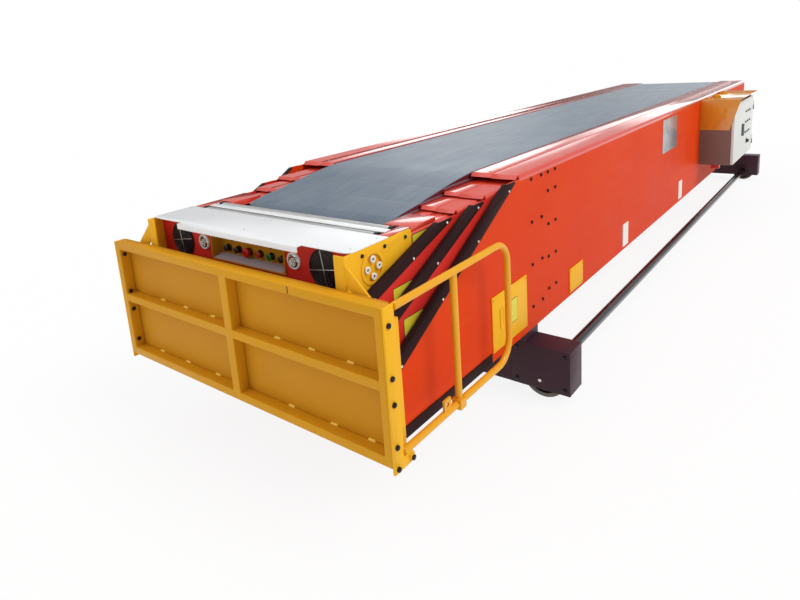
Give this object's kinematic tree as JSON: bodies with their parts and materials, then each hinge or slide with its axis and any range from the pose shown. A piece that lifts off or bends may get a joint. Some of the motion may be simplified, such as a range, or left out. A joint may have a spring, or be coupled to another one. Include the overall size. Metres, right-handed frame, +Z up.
{
  "type": "telescopic belt conveyor",
  "caption": "Telescopic belt conveyor: a long box base on wheels with nested sliding sections, a belt along the top, a control head and a fold-down operator platform with a handrail.",
  "frame": {"origin": "on the floor, midway between the four wheels", "axes": "+Z up, -Y towards the platform end that extends into a vehicle, +X to the side with the control cabinet and drive shaft"},
  "size_m": [1.757, 6.349, 1.031],
  "materials": {
    "body_red": "satin powder coat",
    "stage_red": "satin powder coat",
    "safety_yellow": "satin powder coat",
    "edge_black": "matt",
    "belt_grey": "matt woven",
    "bright_plate": "bright brushed",
    "roller_steel": "turned",
    "gear_dark": "satin dark paint",
    "wheel_steel": "machined tread",
    "shaft_steel": "oiled",
    "cabinet_grey": "textured powder coat",
    "lamp_white": "frosted lens",
    "guard_dark": "wire guard",
    "button_mix": "gloss"
  },
  "bodies": {
    "base": {"base_walls": "body_red", "base_floor": "body_red", "base_top": "body_red", "base_belt": "belt_grey", "base_edge_strips": "edge_black", "tail_drum": "roller_steel", "base_rear_plate": "body_red", "access_panels": "safety_yellow", "cross_beams": "gear_dark", "wheel_housings": "gear_dark", "idler_pins": "shaft_steel", "cabinet_box": "cabinet_grey", "cabinet_tray": "safety_yellow"},
    "drive_axle": {"drive_shaft": "shaft_steel", "wheel_front_right": "wheel_steel", "wheel_rear_right": "wheel_steel"},
    "front_left_wheel": {"wheel_front_left": "wheel_steel"},
    "rear_left_wheel": {"wheel_rear_left": "wheel_steel"},
    "stage_1": {"stage1_walls": "stage_red", "stage1_floor": "stage_red", "stage1_top": "stage_red", "stage1_belt": "belt_grey", "stage1_edge_strips": "edge_black"},
    "stage_2": {"stage2_walls": "stage_red", "stage2_floor": "stage_red", "stage2_top": "stage_red", "stage2_belt": "belt_grey", "stage2_edge_strips": "edge_black"},
    "stage_3": {"stage3_walls": "stage_red", "stage3_floor": "stage_red", "stage3_top": "stage_red", "stage3_belt": "belt_grey", "head_side_plates": "safety_yellow", "head_bearings": "safety_yellow", "head_front_panel": "stage_red", "head_top_plate": "bright_plate", "transfer_rollers": "roller_steel", "head_drum": "roller_steel", "control_box": "safety_yellow", "control_buttons": "button_mix", "head_lamps": "lamp_white", "fan_guards": "guard_dark", "platform_hangers": "safety_yellow"},
    "platform": {"platform_frame": "safety_yellow", "platform_floor": "safety_yellow", "platform_side_plates": "safety_yellow", "handrail": "safety_yellow"},
    "cabinet_door": {"cabinet_door": "cabinet_grey"}
  },
  "joints": [
    {"name": "stage_1_slide", "type": "slide", "parent": "base", "child": "stage_1", "axis": [0, -1, 0], "range_m": [0, 3.6]},
    {"name": "stage_2_slide", "type": "slide", "parent": "stage_1", "child": "stage_2", "axis": [0, -1, 0], "range_m": [0, 3.6]},
    {"name": "stage_3_slide", "type": "slide", "parent": "stage_2", "child": "stage_3", "axis": [0, -1, 0], "range_m": [0, 3.6]},
    {"name": "platform_fold", "type": "hinge", "parent": "stage_3", "child": "platform", "pos_m": [0, -3.59, 0.346], "axis": [1, 0, 0], "range_deg": [0, 90]},
    {"name": "cabinet_door_hinge", "type": "hinge", "parent": "base", "child": "cabinet_door", "pos_m": [0.884, 1.545, 0.7], "axis": [0, 0, 1], "range_deg": [0, 110]},
    {"name": "drive_axle_spin", "type": "hinge", "parent": "base", "child": "drive_axle", "pos_m": [0.695, 0, 0.1], "axis": [0, 1, 0], "continuous": true},
    {"name": "front_left_wheel_spin", "type": "hinge", "parent": "base", "child": "front_left_wheel", "pos_m": [-0.695, -2.515, 0.1], "axis": [0, 1, 0], "continuous": true},
    {"name": "rear_left_wheel_spin", "type": "hinge", "parent": "base", "child": "rear_left_wheel", "pos_m": [-0.695, 2.515, 0.1], "axis": [0, 1, 0], "continuous": true}
  ],
  "couplings": [
    {"joint": "stage_2_slide", "follows": "stage_1_slide", "ratio": 1},
    {"joint": "stage_3_slide", "follows": "stage_1_slide", "ratio": 1}
  ]
}
